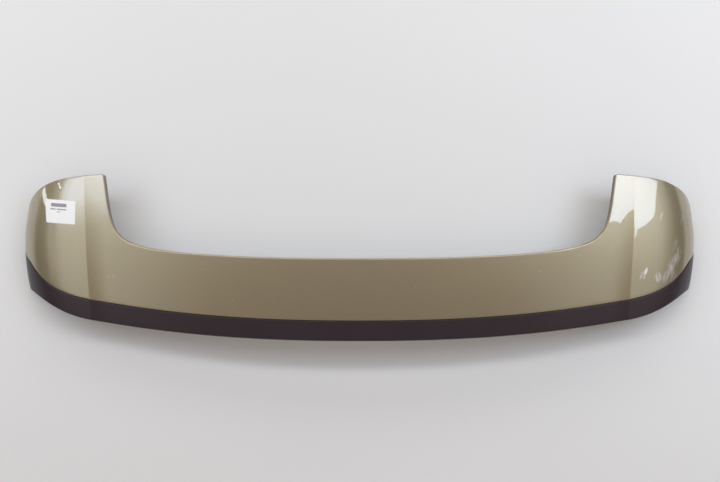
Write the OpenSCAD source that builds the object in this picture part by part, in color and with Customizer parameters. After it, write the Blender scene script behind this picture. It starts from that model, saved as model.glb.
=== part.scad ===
// Rear roof spoiler for a hatchback: a painted outer shell over a black lower shell whose lip
// shows along the whole trailing edge. Millimetres. X is across the car, +Y points to the front of
// the car, along the two arms, and +Z is up. The spoiler stands on the lower edges of its flanks.
// A place on the outer skin is written [s, y]: s is the distance along the skin from the
// centre line, and y is the distance ahead of the trailing edge at the centre line.

/* [Outer skin] */
// Distance along the skin from the centre line to the character crease
crease_reach = 457; // [400:1:520]
// Radius of the crown across the car
crown_radius = 2800; // [2200:10:4000]
// Distance along the skin in which the flank turns down
flank_turn = 163.5; // [140:1:200]
// Steepest slope of the flank
flank_angle = 84; // [70:1:86]
// Power of the law by which the flank turns down: higher turns later
flank_power = 2.4; // [1.8:0.1:3]
// Radius of the skin along the car
roof_radius = 800; // [600:10:1600]
// Distance ahead of the trailing edge where the skin is level
level_y = 196; // [150:1:240]
// Radius of the flank seen from above
flank_plan_radius = 400; // [250:5:900]
// Place along the car where the flank is widest
flank_plan_y = 165; // [145:1:190]
// Height of the crown above the flank's lower edge
arch_height = 117; // [112:1:120]

/* [Outline] */
// Front to back at the centre line, from trailing edge to cut-out
strip_depth = 138; // [120:0.5:150]
// Front to back at the tips of the arms
arm_length = 281; // [262:1:298]
// Distance along the skin from the centre line to the arm's inner tip
tip_reach = 433.5; // [428:0.5:439]
// How far the trailing edge comes forward between the centre line and the crease
trailing_rise = 34.5; // [26:0.5:42]
// Power of the law by which it comes forward: higher bends later
trailing_power = 2.3; // [1.9:0.05:2.7]
// How far the cut-out's long edge comes forward up to the start of its corner
cutout_rise = 6.4; // [3:0.1:10]
// Power of the law by which it comes forward
cutout_power = 2.5; // [2:0.05:3]
// Width of the black lip band that shows behind the painted shell
band_width = 34.8; // [30:0.2:39]
// Width of the black rim left along the lower edge of the flank
rim_width = 6; // [5:0.5:8]

/* [Crease] */
// Height of the step at the crease, at the trailing edge
step_rear = 5.5; // [3:0.1:7]
// Height of the step at the crease, at the arm's tip
step_tip = 1.5; // [0.5:0.1:3]
// Width of the hollow on the inner side of the crease
valley_width = 34; // [25:1:45]
// Outward lean of the crease for each millimetre forward
crease_lean = 0.05; // [0.02:0.01:0.08]

/* [Walls] */
// Wall of the painted outer shell
outer_wall = 2.8; // [2.4:0.1:3.2]
// Wall of the black lower shell
inner_wall = 2.5; // [2:0.1:2.8]
// Gap for glue between the two shells
glue_gap = 0.4; // [0.2:0.05:0.6]
// Depth of the flange turned down along the cut-out and the arms' front edges
flange_depth = 11; // [9:0.5:14]
// Radius of the painted shell's edges
edge_radius = 1.8; // [1.2:0.1:2.4]
// Depth of the closed section under the skin at its thickest
section_depth = 36; // [28:1:40]
// Depth of the lip's rounded nose
nose_depth = 7; // [6:0.5:8.5]
// Length of the tongue of the lower shell that lies under the painted shell
tongue_length = 12; // [8:1:16]
// Width of the groove where painted shell and black band meet
reveal_gap = 0.5; // [0.3:0.1:0.8]

/* [Fixings] */
// Diameter of the fixing studs
stud_d = 6; // [5:0.5:8]
// Length of the studs below their bosses
stud_length = 20; // [14:1:24]
// Distance of the arm studs outboard of the crease
arm_stud_outset = 13; // [6:1:18]
// Distance between the arm studs along the car
arm_stud_spacing_y = 110; // [90:2:120]
// Place of the rear pair of arm studs ahead of the trailing edge
arm_stud_y = 105; // [98:1:112]
// Distance between the two middle studs
middle_stud_spacing = 300; // [240:2:360]
// Place of the middle studs ahead of the trailing edge
middle_stud_y = 95; // [85:1:105]
// How far the rear arm bosses stand out below the deepest part of the section
arm_boss_proud = 4.5; // [2.5:0.1:7]
// How far the middle bosses stand out below it
middle_boss_proud = 2.4; // [1:0.1:4]
// Diameter of the bosses that carry the studs
boss_d = 22; // [19:0.5:26]
// Thickness of the sealing ring round each stud
gasket_thickness = 4; // [2:0.5:6]
// Distance between the front clips across the car
clip_spacing = 640; // [600:2:660]
// Place of the front clips ahead of the trailing edge
clip_y = 118; // [114:1:121]
// Length of the clips below their bosses
clip_length = 15; // [12:1:18]
// Diameter of the clips' bosses
clip_boss_d = 16; // [14:0.5:18]
// How far the clips' bosses stand out below the deepest part of the section
clip_boss_proud = 1; // [0.2:0.1:3]
// Height of the foam strip under the cut-out edge
seal_height = 5; // [3:0.5:8]
// Width of the flat land that carries the foam strip
land_width = 7; // [5:0.5:9]

/* [Resolution] */
// Number of panels between the centre line and the start of the cut-out's corner
centre_panels = 12; // [8:1:20]

/* [Hidden] */

// Tints of the materials
PAINT = [0.62, 0.58, 0.47];
BLACK = [0.09, 0.08, 0.09];
STEEL = [0.78, 0.76, 0.66];
FOAM = [0.2, 0.2, 0.21];
NYLON = [0.86, 0.85, 0.8];

// The frame's origin lies under the middle of the outline
origin_y = arm_length / 2;

// Panels in each further stretch of the outline, from the cut-out's corner to the front corner
fillet_panels = 11;
knee_panels = 6;
valley_panels = 5;
shoulder_panels = 9;
flank_panels = 6;
foot_panels = 4;

// Places where the outline turns, ahead of the trailing edge or outboard of the crease
fillet_s = 250;
trail_shoulder_out = 127;
trail_shoulder_y = 80;
band_shoulder_out = 118;
band_shoulder_y = 130;
front_shoulder_out = 133;
front_shoulder_back = 33.5;
foot_rear_y = 98;
rim_rear_y = 158;
foot_front_y = 184;
toe_front = 13;
knee_in = 25.7;
knee_y = 43;
tip_round = 5;

DEG = 180 / PI;
crease_angle = crease_reach / crown_radius * DEG;

// Slope of the skin across the car, in degrees, at distance s from the centre line
function slope(s) = s <= crease_reach
    ? s / crown_radius * DEG
    : crease_angle + (flank_angle - crease_angle) * pow(min(1, (s - crease_reach) / flank_turn), flank_power);

// Running sums of the slope: distance along the skin, reach across the car and height
skin_step = 2;
skin_end = crease_reach + flank_turn + 60;
SKIN = [for (s = 0, x = 0, z = 0;
             s <= skin_end;
             x = x + cos(slope(s + skin_step / 2)) * skin_step,
             z = z - sin(slope(s + skin_step / 2)) * skin_step,
             s = s + skin_step) [s, x, z]];
REACH = [for (p = SKIN) [p[0], p[1]]];
DROP = [for (p = SKIN) [p[0], p[2]]];
DEPTH_TO_S = [for (i = [len(SKIN) - 1 : -1 : 0]) [SKIN[i][2], SKIN[i][0]]];

function clamp01(t) = max(0, min(1, t));
function ease(t) = let (c = clamp01(t)) c * c * (3 - 2 * c);
function mix(a, b, t) = a + (b - a) * t;
function unit(v) = v / norm(v);

// Fall of the skin along the car, zero where it is level
function fall(y) = sqrt(pow(roof_radius, 2) - pow(y - level_y, 2)) - roof_radius;

// Inward sweep of the flank ahead of and behind its widest place
function sweep(a, y) = pow(y - flank_plan_y, 2) / (2 * flank_plan_radius) * ease((a - crease_reach) / 130);

// Height of the crease's step and how far the centre panel lies below the pad
function crease_at(y) = crease_reach + crease_lean * (y - 70);
function step_height(y) = mix(step_rear, step_tip, clamp01(y / arm_length));
function sink(a, y) = let (t = clamp01((crease_at(y) - a) / valley_width)) step_height(y) * (1 - pow(1 - t, 2));

// A point of the skin, without and with the crease, in the spoiler's own frame
function plain_skin(s, y) = let (a = abs(s))
    [sign(s) * (lookup(a, REACH) - sweep(a, y)), y - origin_y, arch_height + lookup(a, DROP) + fall(y)];
function skin(s, y) = plain_skin(s, y) - [0, 0, sink(abs(s), y)];
function skin_normal(s, y) = unit(cross(plain_skin(s + 1, y) - plain_skin(s - 1, y),
                                        plain_skin(s, y + 1) - plain_skin(s, y - 1)));

// Distance along the skin at which the flank reaches its lower edge, so that the lip's nose
// just touches the ground there
foot_rise = 0.4 * nose_depth * cos(flank_angle) + 0.3;
function foot_s(y) = lookup(foot_rise - arch_height - fall(y), DEPTH_TO_S);

function bezier(p, t) = pow(1 - t, 3) * p[0] + 3 * t * pow(1 - t, 2) * p[1]
                      + 3 * t * t * (1 - t) * p[2] + pow(t, 3) * p[3];
function steps(n) = [for (i = [0 : n - 1]) i / n];

// A bend of an outline is [place, heading in degrees, pull before it, pull after it]: the line
// runs through the place along the heading, and a longer pull keeps it straight for longer
function along(heading) = [cos(heading), sin(heading)];
function bend_to_bend(a, b, n) = [for (t = steps(n))
    bezier([a[0], a[0] + a[3] * along(a[1]), b[0] - b[2] * along(b[1]), b[0]], t)];
function stretch(from, to, n) = [for (t = steps(n)) mix(from, to, t)];

// The columns' places along the three outlines, up to the crease
fillet_trail_s = fillet_s - 6;
valley_trail_s = crease_reach - valley_width;
function rear_places(end) = concat(stretch(0, fillet_trail_s, centre_panels),
                                   stretch(fillet_trail_s, valley_trail_s, fillet_panels),
                                   stretch(valley_trail_s, end, valley_panels));

// Trailing edge, from the centre line to the front corner
function trail_y(s) = trailing_rise * pow(s / crease_reach, trailing_power);
trail_heading = atan(trailing_rise * trailing_power / crease_reach);
trail_corner = [[crease_reach, trail_y(crease_reach)], trail_heading, 0, 76];
trail_shoulder = [[crease_reach + trail_shoulder_out, trail_shoulder_y], 21, 27, 18];
trail_foot = [[foot_s(foot_rear_y), foot_rear_y], 90, 16, 0];
TRAIL = concat(
    [for (s = rear_places(crease_reach)) [s, trail_y(s)]],
    bend_to_bend(trail_corner, trail_shoulder, shoulder_panels),
    bend_to_bend(trail_shoulder, trail_foot, flank_panels),
    [for (i = [0 : foot_panels]) let (y = mix(foot_rear_y, foot_front_y, i / foot_panels)) [foot_s(y), y]]);

// Line where the painted shell ends and the black band begins
band_end = crease_reach - 1;
band_corner = [[band_end, band_width + trail_y(band_end)], trail_heading, 0, 79.5];
band_shoulder = [[crease_reach + band_shoulder_out, band_shoulder_y], 43.5, 35.5, 18];
band_foot = [[foot_s(rim_rear_y) - rim_width - 2, rim_rear_y], 63, 13.5, 0];
BAND = concat(
    [for (s = rear_places(band_end)) [s, band_width + trail_y(s)]],
    bend_to_bend(band_corner, band_shoulder, shoulder_panels),
    bend_to_bend(band_shoulder, band_foot, flank_panels),
    [for (i = [0 : foot_panels])
        let (y = mix(rim_rear_y, foot_front_y + 5, i / foot_panels)) [foot_s(y) - rim_width, y]]);

// Cut-out, the arm's inner side with its tip, and the arm's front edge
function cutout_y(s) = strip_depth + cutout_rise * pow(s / fillet_s, cutout_power);
cutout_heading = atan(cutout_rise * cutout_power / fillet_s);
fillet_start = [[fillet_s, cutout_y(fillet_s)], cutout_heading, 0, 128];
knee = [[tip_reach - knee_in, strip_depth + knee_y], 47, 21, 22];
tip = [tip_reach, arm_length];
tip_inner = [tip - [0.8, tip_round], 80, 40.5, 0];
front_crease = [[crease_at(arm_length), arm_length - 2], -7.5, 0, 28];
front_shoulder = [[crease_reach + front_shoulder_out, arm_length - front_shoulder_back], -36, 48, 20];
toe = [[foot_s(foot_front_y + toe_front) - rim_width, foot_front_y + toe_front], -95, 24, 0];
FRONT = concat(
    [for (s = stretch(0, fillet_s, centre_panels)) [s, cutout_y(s)]],
    bend_to_bend(fillet_start, knee, knee_panels),
    bend_to_bend(knee, tip_inner, fillet_panels - knee_panels),
    [tip_inner[0], tip + [1.2, -0.8]],
    stretch(tip + [tip_round, 0], front_crease[0], valley_panels - 2),
    bend_to_bend(front_crease, front_shoulder, shoulder_panels),
    bend_to_bend(front_shoulder, toe, flank_panels + foot_panels),
    [toe[0]]);

last = len(TRAIL) - 1;

// Column k joins place k of the three outlines. Columns count from the centre line, to the
// right above zero and mirrored to the left below zero.
function paint_length(k) = norm(FRONT[k] - BAND[k]);
function band_length(k) = norm(BAND[k] - TRAIL[k]);

// Share of the full section left in the short columns at the front corner
function shrink(k) = min(1, paint_length(k) / 70);
function lip_shrink(k) = min(1, band_length(k) / 20);

// Unit step from the front outline into the part, square to the outline
function inward(k) = k == 0 ? [0, -1]
    : let (t = unit(FRONT[min(last, k + 1)] - FRONT[k - 1])) [t[1], -t[0]];

// The place at distance d inside the front outline. The columns round the arm's tip meet near
// the centre of its small radius, and from there they go on along the corner's diagonal.
tip_column = centre_panels + fillet_panels;
function inside_front(k, d) =
    let (r = k >= tip_column && k <= tip_column + 2 ? min(d, 0.8 * tip_round) : d)
    FRONT[k] + r * inward(k) + (d - r) * [1, -1];

// The places at distance d ahead of the parting line, behind it, and ahead of the trailing edge
function before_band(k, d) = mix(BAND[k], FRONT[k], d / paint_length(k));
function behind_band(k, d) = mix(BAND[k], TRAIL[k], d / band_length(k));
function before_trail(k, d) = mix(TRAIL[k], BAND[k], d / band_length(k));

// The point at a depth below a place of the skin, and a path of them on either side of the car
function below(place, depth) = skin(place[0], place[1]) - depth * skin_normal(place[0], place[1]);
function path(i, spots) = [for (q = spots) let (p = below(q[0], q[1])) [i < 0 ? -p[0] : p[0], p[1], p[2]]];

// Closed skin through rings of points. Each ring is [outer path, inner path], both of one length.
module loft(rings) {
    m = len(rings[0][0]);
    n = len(rings);
    points = [for (r = rings) each concat(r[0], [for (j = [m - 1 : -1 : 0]) r[1][j]])];
    w = 2 * m;
    // Each quad is split along the same diagonal on both faces of the wall, mirrored left to right
    sides = [for (i = [0 : n - 2], j = [0 : w - 1])
        let (a = i * w + j, b = i * w + (j + 1) % w, c = b + w, d = a + w)
        each (i < (n - 1) / 2) == (j < m) ? [[a, b, c], [a, c, d]] : [[a, b, d], [b, c, d]]];
    left_cap = [for (j = [0 : m - 2]) let (k = w - 1 - j) each [[j, k, j + 1], [j + 1, k, k - 1]]];
    o = (n - 1) * w;
    right_cap = [for (j = [0 : m - 2]) let (k = w - 1 - j)
        each [[o + j, o + j + 1, o + k], [o + j + 1, o + k - 1, o + k]]];
    polyhedron(points, concat(sides, left_cap, right_cap), convexity = 12);
}

// Painted shell: a turned-down flange with a small radius along the front edge, the skin, and
// an edge rolled in at the parting line
paint_rows = 8;
function paint_ring(i) =
    let (k = abs(i), f = shrink(k), w = outer_wall * f, r = edge_radius * f,
         outer_start = inside_front(k, r), inner_start = inside_front(k, w + r), end = before_band(k, r),
         outer = [[FRONT[k], flange_depth], [FRONT[k], r], [inside_front(k, 0.3 * r), 0.3 * r],
                  for (j = [0 : paint_rows]) [mix(outer_start, end, j / paint_rows), 0],
                  [before_band(k, 0.3 * r), 0.3 * edge_radius], [BAND[k], edge_radius]],
         inner = [[inside_front(k, w), flange_depth], [inside_front(k, w), outer_wall + edge_radius],
                  [inside_front(k, w + 0.3 * r), outer_wall + 0.3 * edge_radius],
                  for (j = [0 : paint_rows]) [mix(inner_start, end, j / paint_rows), outer_wall],
                  [before_band(k, 0.4 * r), outer_wall], [BAND[k], outer_wall]])
    [path(i, inner), path(i, outer)];

module outer_shell() {
    color(PAINT) loft([for (i = [-last : last]) paint_ring(i)]);
}

// Underside of the lower shell between its land and its lip, as [place, share of the depth]
BELLY = [[0.09, 0.62], [0.22, 0.86], [0.39, 0.98], [0.58, 1], [0.75, 0.86], [0.9, 0.55]];
// How far the lip's nose and its hollow reach ahead of the trailing edge, at their foot and top
lip_reach = 12;
hollow_reach = 6;
lip_foot = nose_depth + 3;

// The section thins in the short columns, and towards the flank's lower edge
function belly_depth(k, place, share) =
    min(mix(flange_depth, mix(flange_depth, section_depth, shrink(k)), share),
        lip_foot + 0.45 * max(0, skin(place[0], place[1])[2]));

// Lower shell: an upstand glued inside the flange, the land for the foam strip, the underside,
// the rounded lip, the black band level with the paint, and a tongue under the painted shell
function lower_ring(i) =
    let (k = abs(i), f = shrink(k), q = lip_shrink(k), w = inner_wall,
         seat = outer_wall + glue_gap, g = seat * f, tongue = tongue_length * min(1, f * 1.2),
         front = inside_front(k, g), front_in = inside_front(k, g + w * f),
         land = inside_front(k, g + land_width * f), land_in = inside_front(k, g + (land_width + 0.6 * w) * f),
         rear = before_trail(k, lip_reach * q), step = reveal_gap * q, tongue_end = before_band(k, tongue),
         top = before_trail(k, 3 * q), hollow = before_trail(k, (hollow_reach + 2) * q),
         outer = [[front, seat + 2], [front, flange_depth], [land, flange_depth],
                  for (b = BELLY) let (at = mix(land, rear, b[0])) [at, belly_depth(k, at, b[1])],
                  [rear, lip_foot], [before_trail(k, 4.5 * q), nose_depth],
                  [before_trail(k, 0.8 * q), 0.65 * nose_depth], [TRAIL[k], 0.4 * nose_depth],
                  [before_trail(k, 0.9 * q), 0.9], [top, 0], [mix(top, BAND[k], 0.5), 0],
                  [behind_band(k, step + 0.8 * q), 0], [behind_band(k, step), 0.8],
                  [behind_band(k, step), seat], [tongue_end, seat]],
         inner = [[front_in, seat + 2], [front_in, flange_depth - w], [land_in, flange_depth - w],
                  for (b = BELLY) let (at = mix(land_in, rear, b[0])) [at, belly_depth(k, at, b[1]) - w],
                  [before_trail(k, (lip_reach + 1) * q), lip_foot - w], [hollow, nose_depth - 0.7 * w],
                  [before_trail(k, (hollow_reach + 0.4) * q), 0.66 * nose_depth],
                  [before_trail(k, hollow_reach * q), 0.56 * nose_depth],
                  [before_trail(k, (hollow_reach + 0.4) * q), 0.46 * nose_depth], [hollow, w],
                  [mix(hollow, BAND[k], 0.6), w], [behind_band(k, 4 * q), w],
                  [behind_band(k, step + w * q + 0.2 * q), w + 0.8],
                  [behind_band(k, step + w * q), seat + w], [tongue_end, seat + w]])
    [path(i, outer), path(i, inner)];

// Height of a boss's face that stands out below the section at a place
function face_z(s, y, proud) = skin(s, y)[2] - section_depth - proud;

// Fixing points as [x, y ahead of the trailing edge, height of the boss's face]. All faces of a
// group lie in one plane.
arm_stud_x = crease_reach + arm_stud_outset;
arm_face_z = face_z(arm_stud_x, arm_stud_y, arm_boss_proud);
ARM_STUDS = [for (x = [-1, 1], y = [0, 1])
    [x * arm_stud_x, arm_stud_y + y * arm_stud_spacing_y, arm_face_z]];
middle_stud_x = middle_stud_spacing / 2;
middle_face_z = face_z(middle_stud_x, middle_stud_y, middle_boss_proud);
MIDDLE_STUDS = [for (x = [-1, 1]) [x * middle_stud_x, middle_stud_y, middle_face_z]];
STUDS = concat(ARM_STUDS, MIDDLE_STUDS);
clip_x = clip_spacing / 2;
clip_face_z = face_z(clip_x, clip_y, clip_boss_proud);
CLIPS = [for (x = [-1, 1]) [x * clip_x, clip_y, clip_face_z]];

// Height of the bosses' inner ends, inside the hollow between the shells
boss_head_depth = 22;
function boss_top(p) = skin(p[0], p[1])[2] - boss_head_depth;
fit_gap = 0.05;

module at(p) {
    translate([p[0], p[1] - origin_y, p[2]]) children();
}

module boss(p, d) {
    at(p) cylinder(h = boss_top(p) - p[2], d = d);
}

module lower_shell() {
    color(BLACK) difference() {
        union() {
            loft([for (i = [-last : last]) lower_ring(i)]);
            for (p = STUDS) boss(p, boss_d);
            for (p = CLIPS) boss(p, clip_boss_d);
        }
        for (p = STUDS) at(p) translate([0, 0, -1]) cylinder(h = section_depth * 2, d = stud_collar_d + 2 * fit_gap);
        for (p = CLIPS) at(p) translate([0, 0, -1]) cylinder(h = clip_root + 1.5, d = clip_root_d + 2 * fit_gap);
    }
}

// Studs: a round head that lies on the boss inside the hollow, a collar that fills the boss's
// bore, and a shank with a chamfered end
stud_head_d = 15;
stud_head_h = 3;
stud_chamfer = 1;
stud_collar_d = stud_d + 1.2;
module stud(p) {
    collar_h = boss_top(p) - p[2];
    at(p) {
        translate([0, 0, collar_h]) cylinder(h = stud_head_h, d = stud_head_d);
        cylinder(h = collar_h, d = stud_collar_d);
        translate([0, 0, stud_chamfer - stud_length]) cylinder(h = stud_length - stud_chamfer, d = stud_d);
        translate([0, 0, -stud_length]) cylinder(h = stud_chamfer, d1 = stud_d - 2 * stud_chamfer, d2 = stud_d);
    }
}

module mounting_studs() {
    color(STEEL) for (p = STUDS) stud(p);
}

// Play between a sealing ring and its stud
gasket_play = 3;
module stud_gaskets() {
    color(FOAM) for (p = STUDS) at(p) translate([0, 0, -gasket_thickness]) difference() {
        cylinder(h = gasket_thickness, d = boss_d - 1);
        translate([0, 0, -1]) cylinder(h = gasket_thickness + 2, d = stud_d + gasket_play);
    }
}

// Clips: a root held in the boss, a collar on its face and a barbed stem that pushes into the car
clip_root = 6;
clip_root_d = 6;
collar_h = 2;
collar_d = 14;
barb_d = 9;
barb_neck_d = 5;
barbs = 3;
module clip() {
    barb_h = (clip_length - collar_h) / barbs;
    rotate_extrude($fn = 48) polygon(concat(
        [[0, clip_root], [clip_root_d / 2, clip_root], [clip_root_d / 2, 0], [collar_d / 2, 0],
         [collar_d / 2, -collar_h], [barb_neck_d / 2, -collar_h]],
        [for (i = [0 : barbs - 1]) let (z = -collar_h - i * barb_h)
            each [[barb_neck_d / 2, z - 0.3 * barb_h], [barb_d / 2, z - 0.35 * barb_h],
                  [barb_neck_d / 2, z - 0.95 * barb_h]]],
        [[0, -clip_length]]));
}

module front_clips() {
    color(NYLON) for (p = CLIPS) at(p) clip();
}

// Foam strip along the cut-out, stuck to the lower shell's flat land
seal_last = centre_panels + knee_panels;
function seal_ring(i) =
    let (k = abs(i), g = outer_wall + glue_gap, a = inside_front(k, g), b = inside_front(k, g + land_width))
    [path(i, [[a, flange_depth + seal_height], [b, flange_depth + seal_height]]),
     path(i, [[a, flange_depth], [b, flange_depth]])];

module edge_seal() {
    color(FOAM) loft([for (i = [-seal_last : seal_last]) seal_ring(i)]);
}

outer_shell();
lower_shell();
mounting_studs();
stud_gaskets();
front_clips();
edge_seal();
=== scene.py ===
"""Looks of the rear roof spoiler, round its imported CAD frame.

The shapes are worked out in millimetres with the same driving dimensions as the solids, and
turned into Blender's metres when a mesh is made. A place on the outer skin is [s, y]: s is the
distance along the skin from the centre line, and y is the distance ahead of the trailing edge at
the centre line. X is across the car, +Y points to its front and +Z is up.
"""

import math

import bmesh
import bpy
import numpy as np
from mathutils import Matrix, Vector


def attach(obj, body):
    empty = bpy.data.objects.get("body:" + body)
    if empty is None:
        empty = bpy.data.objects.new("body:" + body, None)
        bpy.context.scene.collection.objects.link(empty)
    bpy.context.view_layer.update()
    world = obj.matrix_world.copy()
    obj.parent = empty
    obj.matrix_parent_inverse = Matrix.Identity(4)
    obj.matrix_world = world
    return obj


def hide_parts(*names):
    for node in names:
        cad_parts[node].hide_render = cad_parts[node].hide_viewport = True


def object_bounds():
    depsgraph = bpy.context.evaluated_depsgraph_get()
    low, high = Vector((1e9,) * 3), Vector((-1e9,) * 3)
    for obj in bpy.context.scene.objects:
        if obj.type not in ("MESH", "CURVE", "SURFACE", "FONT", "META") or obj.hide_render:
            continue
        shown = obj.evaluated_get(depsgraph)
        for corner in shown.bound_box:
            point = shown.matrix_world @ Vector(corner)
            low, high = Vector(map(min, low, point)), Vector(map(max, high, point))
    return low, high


MM = 0.001
BODY = "root"

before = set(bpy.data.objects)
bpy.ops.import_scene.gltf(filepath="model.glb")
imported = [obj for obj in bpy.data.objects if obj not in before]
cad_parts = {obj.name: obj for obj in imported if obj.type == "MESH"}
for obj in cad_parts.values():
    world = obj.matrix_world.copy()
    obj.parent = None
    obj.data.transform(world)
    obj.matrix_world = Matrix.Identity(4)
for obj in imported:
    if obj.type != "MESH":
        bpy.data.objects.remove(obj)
cad_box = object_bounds()

# Driving dimensions in millimetres and degrees. Powers, leans and shares are plain numbers.
crease_reach = 457
crown_radius = 2800
flank_turn = 163.5
flank_angle = 84
flank_power = 2.4
roof_radius = 800
level_y = 196
flank_plan_radius = 400
flank_plan_y = 165
flank_plan_ease = 130
arch_height = 117

strip_depth = 138
arm_length = 281
tip_reach = 433.5
trailing_rise = 34.5
trailing_power = 2.3
cutout_rise = 6.4
cutout_power = 2.5
band_width = 34.8
rim_width = 6

step_rear = 5.5
step_tip = 1.5
valley_width = 34
crease_lean = 0.05
crease_pivot_y = 70
crease_round = 1.3

outer_wall = 2.8
inner_wall = 2.5
glue_gap = 0.4
flange_depth = 11
edge_radius = 1.8
section_depth = 36
nose_depth = 7
nose_edge = 0.4
foot_clearance = 0.3
tongue_length = 12
reveal_gap = 0.5

stud_d = 6
stud_length = 20
stud_collar_d = 7.2
arm_stud_outset = 13
arm_stud_spacing_y = 110
arm_stud_y = 105
middle_stud_spacing = 300
middle_stud_y = 95
arm_boss_proud = 4.5
middle_boss_proud = 2.4
boss_d = 22
boss_head_depth = 22
clip_spacing = 640
clip_y = 118
clip_boss_d = 16
clip_boss_proud = 1
clip_root_d = 6
seal_height = 5
land_width = 7

fillet_s = 250
trail_shoulder_out = 127
trail_shoulder_y = 80
band_shoulder_out = 118
band_shoulder_y = 130
front_shoulder_out = 133
front_shoulder_back = 33.5
foot_rear_y = 98
rim_rear_y = 158
foot_front_y = 184
toe_front = 13
knee_in = 25.7
knee_y = 43
tip_round = 5
lip_reach = 12
hollow_reach = 6

origin_y = arm_length / 2
crease_angle = math.degrees(crease_reach / crown_radius)

# The skin across the car: distance along it, reach and height, as running sums of its slope
SKIN_STEP = 0.5
SKIN_SPARE = 60
SKIN_S = np.arange(0, crease_reach + flank_turn + SKIN_SPARE, SKIN_STEP)


def slope(s):
    """Slope of the skin across the car, in degrees, at distance s from the centre line."""
    turn = np.clip((s - crease_reach) / flank_turn, 0, 1) ** flank_power
    return np.where(s <= crease_reach, np.degrees(s / crown_radius),
                    crease_angle + (flank_angle - crease_angle) * turn)


mid_slope = np.radians(slope(SKIN_S + SKIN_STEP / 2))
SKIN_X = np.concatenate([[0], np.cumsum(np.cos(mid_slope) * SKIN_STEP)[:-1]])
SKIN_Z = np.concatenate([[0], -np.cumsum(np.sin(mid_slope) * SKIN_STEP)[:-1]])


def ease(t):
    """Smooth step from 0 to 1."""
    c = np.clip(t, 0, 1)
    return c * c * (3 - 2 * c)


def mix(a, b, t):
    """The value or place at share t of the way from a to b."""
    return a + (b - a) * t


def unit(v):
    """v at length 1."""
    return v / np.linalg.norm(v, axis=-1, keepdims=True)


def fall(y):
    """Fall of the skin along the car, zero where it is level."""
    return np.sqrt(roof_radius ** 2 - (y - level_y) ** 2) - roof_radius


def crease_at(y):
    """Distance from the centre line to the crease."""
    return crease_reach + crease_lean * (y - crease_pivot_y)


def sink(a, y):
    """How far the centre panel lies below the pad outboard of the crease."""
    height = mix(step_rear, step_tip, np.clip(y / arm_length, 0, 1))
    inboard = crease_at(y) - a
    rounded = np.maximum(inboard + crease_round, 0) ** 2 / (4 * crease_round)
    rounded = np.where(inboard < crease_round, rounded, inboard)
    return height * (1 - (1 - np.clip(rounded / valley_width, 0, 1)) ** 2)


def plain_skin(s, y):
    """The skin without its crease, in the spoiler's own frame."""
    a = np.abs(s)
    sweep = (y - flank_plan_y) ** 2 / (2 * flank_plan_radius)
    sweep = sweep * ease((a - crease_reach) / flank_plan_ease)
    x = np.sign(s) * (np.interp(a, SKIN_S, SKIN_X) - sweep)
    z = arch_height + np.interp(a, SKIN_S, SKIN_Z) + fall(y)
    return np.stack([x, y - origin_y, z], axis=-1)


def skin_normal(s, y):
    """Outward normal of the plain skin."""
    across = plain_skin(s + 1, y) - plain_skin(s - 1, y)
    ahead = plain_skin(s, y + 1) - plain_skin(s, y - 1)
    return unit(np.cross(across, ahead))


def below(place, depth):
    """The point at a depth below a place of the skin."""
    s, y = place[..., 0], place[..., 1]
    p = plain_skin(s, y)
    p[..., 2] -= sink(np.abs(s), y)
    return p - np.asarray(depth)[..., None] * skin_normal(s, y)


# The skin's height at the flank's lower edge, where the lip's nose just touches the ground
foot_rise = nose_edge * nose_depth * math.cos(math.radians(flank_angle)) + foot_clearance


def foot_s(y):
    """Distance along the skin at which the flank reaches its lower edge."""
    return np.interp(foot_rise - arch_height - fall(y), SKIN_Z[::-1], SKIN_S[::-1])


# The three outlines, as functions of the column number u, with the same stretches as the solids:
# the long edge, the cut-out's corner, the hollow, the shoulder, the flank and its foot
LONG_END = 12
KNEE = 18
TIP_START = 23
TIP_END = 25
CREASE = 28
SHOULDER = 37
FLANK = 43
LAST = 47


def along(heading):
    """Unit step along a heading in degrees."""
    return np.array([math.cos(math.radians(heading)), math.sin(math.radians(heading))])


def bend_to_bend(a, b):
    """Curve between two bends, as a function of its share t. A bend is [place, heading in degrees,
    pull before it, pull after it], and a longer pull keeps the line straight for longer."""
    start, heading_a, _, pull_a = a
    end, heading_b, pull_b, _ = b
    p = [np.array(start, float), start + pull_a * along(heading_a), end - pull_b * along(heading_b),
         np.array(end, float)]

    def at(t):
        t = t[:, None]
        return ((1 - t) ** 3 * p[0] + 3 * t * (1 - t) ** 2 * p[1]
                + 3 * t * t * (1 - t) * p[2] + t ** 3 * p[3])

    return at


def straight(a, b):
    """Straight line from a to b, as a function of its share t."""
    return lambda t: mix(np.array(a, float), np.array(b, float), t[:, None])


def edge_line(s_from, s_to, y_of):
    """Stretch of an outline whose y follows from s."""
    return lambda t: np.stack([mix(s_from, s_to, t), y_of(mix(s_from, s_to, t))], axis=-1)


def foot_line(y_from, y_to, inset):
    """Stretch of an outline along the flank's lower edge."""
    return lambda t: np.stack([foot_s(mix(y_from, y_to, t)) - inset, mix(y_from, y_to, t)], axis=-1)


def outline(*spans):
    """An outline made of spans, each with the column at its end and its curve."""

    def at(u):
        places = np.zeros(u.shape + (2,))
        start = 0
        for end, curve in spans:
            here = (u >= start) & (u <= end)
            places[here] = curve((u[here] - start) / (end - start))
            start = end
        return places

    return at


def trail_y(s):
    """Trailing edge's place ahead of its middle."""
    return trailing_rise * (s / crease_reach) ** trailing_power


def band_y(s):
    """Parting line's place."""
    return band_width + trail_y(s)


def cutout_y(s):
    """Cut-out's long edge."""
    return strip_depth + cutout_rise * (s / fillet_s) ** cutout_power


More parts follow.
